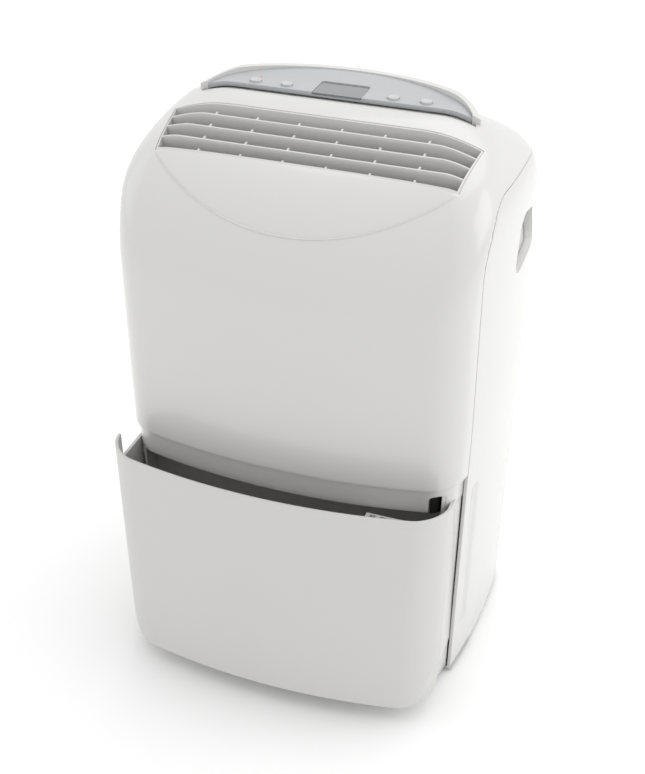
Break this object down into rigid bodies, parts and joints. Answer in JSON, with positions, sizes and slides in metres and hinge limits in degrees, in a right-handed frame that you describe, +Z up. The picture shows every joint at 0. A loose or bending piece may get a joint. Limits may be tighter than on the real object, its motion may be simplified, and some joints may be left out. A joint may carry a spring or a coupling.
{
  "type": "dehumidifier",
  "caption": "Portable compressor dehumidifier with a pull-out water tank, slotted top outlet, raised control panel and side grips.",
  "frame": {"origin": "on the ground at the centre of the footprint, with the tank standing open as stored", "axes": "+Z up, +Y towards the back, +X to the right as seen from the front"},
  "size_m": [0.354, 0.305, 0.557],
  "materials": {
    "shell_gloss": "gloss",
    "grip_plastic": "satin",
    "tank_shell": "satin",
    "grille_plastic": "satin",
    "panel_grey": "satin",
    "smoked_window": "polished",
    "display": "satin",
    "circuit_board": "satin",
    "switch_black": "matte",
    "lamp_lens": "gloss",
    "button_plastic": "satin",
    "tank_box": "satin",
    "lever_black": "satin",
    "float_foam": "matte",
    "steel": "bright",
    "base_plastic": "matte",
    "rubber": "matte",
    "fin_aluminium": "bright",
    "fan_plastic": "matte",
    "motor_paint": "satin",
    "black_paint": "satin",
    "copper_tube": "bright",
    "filter_plastic": "matte",
    "mesh_fabric": "woven"
  },
  "bodies": {
    "casing": {"front_cover": "shell_gloss", "outlet_grille": "grille_plastic", "rear_casing": "shell_gloss", "handle_cup_right": "grip_plastic", "handle_cup_left": "grip_plastic", "top_housing": "shell_gloss", "control_panel": "panel_grey", "display_window": "smoked_window", "display_module": "display", "control_board": "circuit_board", "push_switches": "switch_black", "status_lamp": "lamp_lens", "level_sensor": "switch_black", "lever_pin": "steel", "lever_bracket": "lever_black", "tank_sensor": "switch_black", "base_tray": "base_plastic", "rubber_feet": "rubber", "inner_chassis": "base_plastic", "drip_tray": "base_plastic", "drain_spigot": "fan_plastic", "condenser": "fin_aluminium", "evaporator": "fin_aluminium", "coil_frame": "base_plastic", "fan_shroud": "base_plastic", "fan_scroll": "fan_plastic", "fan_motor": "motor_paint", "motor_bracket": "motor_paint", "compressor": "black_paint", "compressor_mounts": "rubber", "accumulator": "black_paint", "refrigerant_pipes": "copper_tube", "capillary_tube": "copper_tube", "capillary_clip": "fan_plastic", "run_capacitor": "steel", "humidity_sensor": "switch_black", "power_gland": "rubber", "casing_screws": "steel"},
    "tank": {"tank_front": "tank_shell", "tank_box": "tank_box", "float_cage": "tank_box"},
    "float": {"float_block": "float_foam", "float_magnet": "steel"},
    "lever": {"switch_lever": "lever_black"},
    "fan": {"fan_wheel": "fan_plastic", "motor_shaft": "steel"},
    "filter_cassette": {"intake_grille": "grille_plastic", "filter_frame": "filter_plastic", "filter_mesh": "mesh_fabric"},
    "plug": {"drain_plug": "rubber"},
    "power_button_body": {"power_button": "button_plastic"},
    "mode_button_body": {"mode_button": "button_plastic"},
    "humidity_button_body": {"humidity_button": "button_plastic"},
    "timer_button_body": {"timer_button": "button_plastic"}
  },
  "joints": [
    {"name": "tank_slide", "type": "slide", "parent": "casing", "child": "tank", "axis": [0, -1, 0], "range_m": [-0.045, 0.2]},
    {"name": "float_rise", "type": "slide", "parent": "tank", "child": "float", "axis": [0, 0, 1], "range_m": [0, 0.012]},
    {"name": "fan_spin", "type": "hinge", "parent": "casing", "child": "fan", "pos_m": [0, -0.045, 0.354], "axis": [0, 1, 0], "continuous": true},
    {"name": "lever_press", "type": "hinge", "parent": "casing", "child": "lever", "pos_m": [0.145, -0.0626, 0.247], "axis": [1, 0, 0], "range_deg": [0, 12], "stiffness_Nm_per_rad": 0.05, "springref_deg": -5.73},
    {"name": "cassette_pull", "type": "slide", "parent": "casing", "child": "filter_cassette", "axis": [0, 1, 0], "range_m": [0, 0.06]},
    {"name": "plug_pull", "type": "slide", "parent": "casing", "child": "plug", "axis": [0, 1, 0], "range_m": [0, 0.03]},
    {"name": "power_press", "type": "slide", "parent": "casing", "child": "power_button_body", "axis": [0, 0, -1], "range_m": [0, 0.0015], "stiffness_N_per_m": 300, "springref_m": -0.0005},
    {"name": "mode_press", "type": "slide", "parent": "casing", "child": "mode_button_body", "axis": [0, 0, -1], "range_m": [0, 0.0015], "stiffness_N_per_m": 300, "springref_m": -0.0005},
    {"name": "humidity_press", "type": "slide", "parent": "casing", "child": "humidity_button_body", "axis": [0, 0, -1], "range_m": [0, 0.0015], "stiffness_N_per_m": 300, "springref_m": -0.0005},
    {"name": "timer_press", "type": "slide", "parent": "casing", "child": "timer_button_body", "axis": [0, 0, -1], "range_m": [0, 0.0015], "stiffness_N_per_m": 300, "springref_m": -0.0005}
  ]
}
